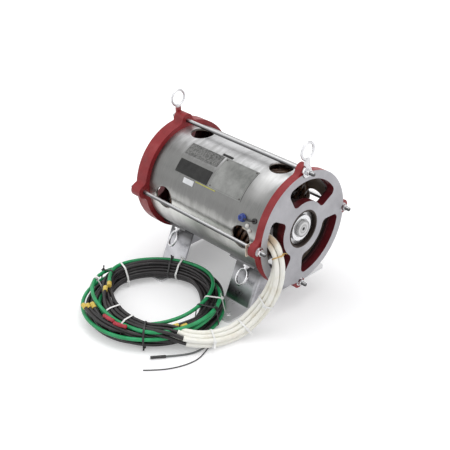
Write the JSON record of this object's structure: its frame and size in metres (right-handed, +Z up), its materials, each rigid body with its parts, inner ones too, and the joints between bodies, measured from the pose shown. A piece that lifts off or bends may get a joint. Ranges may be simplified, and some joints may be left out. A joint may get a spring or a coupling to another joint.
{
  "type": "elevator duty motor",
  "caption": "Open-frame elevator duty motor with red end castings, a steel shell, tie rods, saddle feet and a coil of leads",
  "frame": {"origin": "centre of the machined front face, on the shaft's axis", "axes": "+X along the shaft out of the machined face, +Z up, near side with the leads at -Y"},
  "size_m": [0.4763, 0.5937, 0.4256],
  "materials": {
    "red_casting": "satin enamel on cast iron",
    "steel_shell": "rolled and brushed",
    "dark_laminations": "varnished laminations",
    "winding_varnish": "dipped in varnish",
    "machined_steel": "turned",
    "cast_aluminium": "as cast",
    "bearing_steel": "ground",
    "dark_spring_steel": "oiled",
    "zinc_steel": "bright zinc plate",
    "bright_sheet": "bright sheet",
    "grey_plate": "textured",
    "dark_plate": "satin black",
    "pale_label": "plain film",
    "yellow_label": "plain film",
    "blue_plastic": "moulded",
    "black_rubber": "moulded",
    "black_insulation": "extruded",
    "grey_insulation": "extruded",
    "pale_sealant": "cured silicone",
    "cream_card": "plain card",
    "white_nylon": "moulded",
    "black_nylon": "moulded",
    "amber_cord": "waxed lacing cord",
    "yellow_plastic": "moulded",
    "red_plastic": "moulded",
    "white_sleeving": "woven glass sleeving"
  },
  "bodies": {
    "motor_frame": {"coil_ties_black": "black_nylon", "coil_ties_white": "white_nylon", "dark_plate": "dark_plate", "front_bearing_outer": "bearing_steel", "front_bracket": "red_casting", "front_rod_nuts": "zinc_steel", "hang_tag": "cream_card", "heat_shrink": "black_nylon", "inspection_plug": "blue_plastic", "lead_coil": "black_insulation", "lead_end_caps": "yellow_plastic", "lead_sleeve_1": "white_sleeving", "lead_sleeve_2": "white_sleeving", "lead_sleeve_3": "white_sleeving", "lead_sleeve_4": "white_sleeving", "lead_sleeve_5": "white_sleeving", "lead_sleeve_6": "white_sleeving", "lifting_eye_front": "zinc_steel", "lifting_eye_rear": "zinc_steel", "lower_eyebolts": "zinc_steel", "pale_label": "pale_label", "plate_rivets": "cast_aluminium", "rating_plate": "bright_sheet", "rear_bearing_outer": "bearing_steel", "rear_bracket": "red_casting", "rear_rod_nuts": "zinc_steel", "red_splices": "red_plastic", "retaining_ring": "dark_spring_steel", "rod_washers": "zinc_steel", "saddle_front": "bright_sheet", "saddle_rear": "bright_sheet", "sealant_blobs": "pale_sealant", "sensor_wire": "black_insulation", "sleeve_lacing": "amber_cord", "sleeve_ties": "white_nylon", "stator_core": "dark_laminations", "stator_shell": "steel_shell", "stator_winding": "winding_varnish", "strip_label": "yellow_label", "textured_plate": "grey_plate", "thermistor_lead": "grey_insulation", "thin_wire": "black_insulation", "tie_rods": "zinc_steel", "wave_spring": "dark_spring_steel", "wire_grommet": "black_rubber"},
    "rotor": {"shaft": "machined_steel", "shaft_key": "machined_steel", "rotor_core": "dark_laminations", "rotor_end_ring_front": "cast_aluminium", "rotor_end_ring_rear": "cast_aluminium", "front_bearing_inner": "bearing_steel", "rear_bearing_inner": "bearing_steel", "shaft_collar": "bearing_steel"},
    "front_ball_set": {"front_bearing_balls": "bearing_steel"},
    "rear_ball_set": {"rear_bearing_balls": "bearing_steel"}
  },
  "joints": [
    {"name": "rotor_spin", "type": "hinge", "parent": "motor_frame", "child": "rotor", "pos_m": [0, 0, 0], "axis": [1, 0, 0], "continuous": true},
    {"name": "front_balls_roll", "type": "hinge", "parent": "motor_frame", "child": "front_ball_set", "pos_m": [-0.0215, 0, 0], "axis": [1, 0, 0], "continuous": true},
    {"name": "rear_balls_roll", "type": "hinge", "parent": "motor_frame", "child": "rear_ball_set", "pos_m": [-0.3911, 0, 0], "axis": [1, 0, 0], "continuous": true}
  ],
  "couplings": [
    {"joint": "front_balls_roll", "follows": "rotor_spin", "ratio": 0.402},
    {"joint": "rear_balls_roll", "follows": "rotor_spin", "ratio": 0.402}
  ]
}
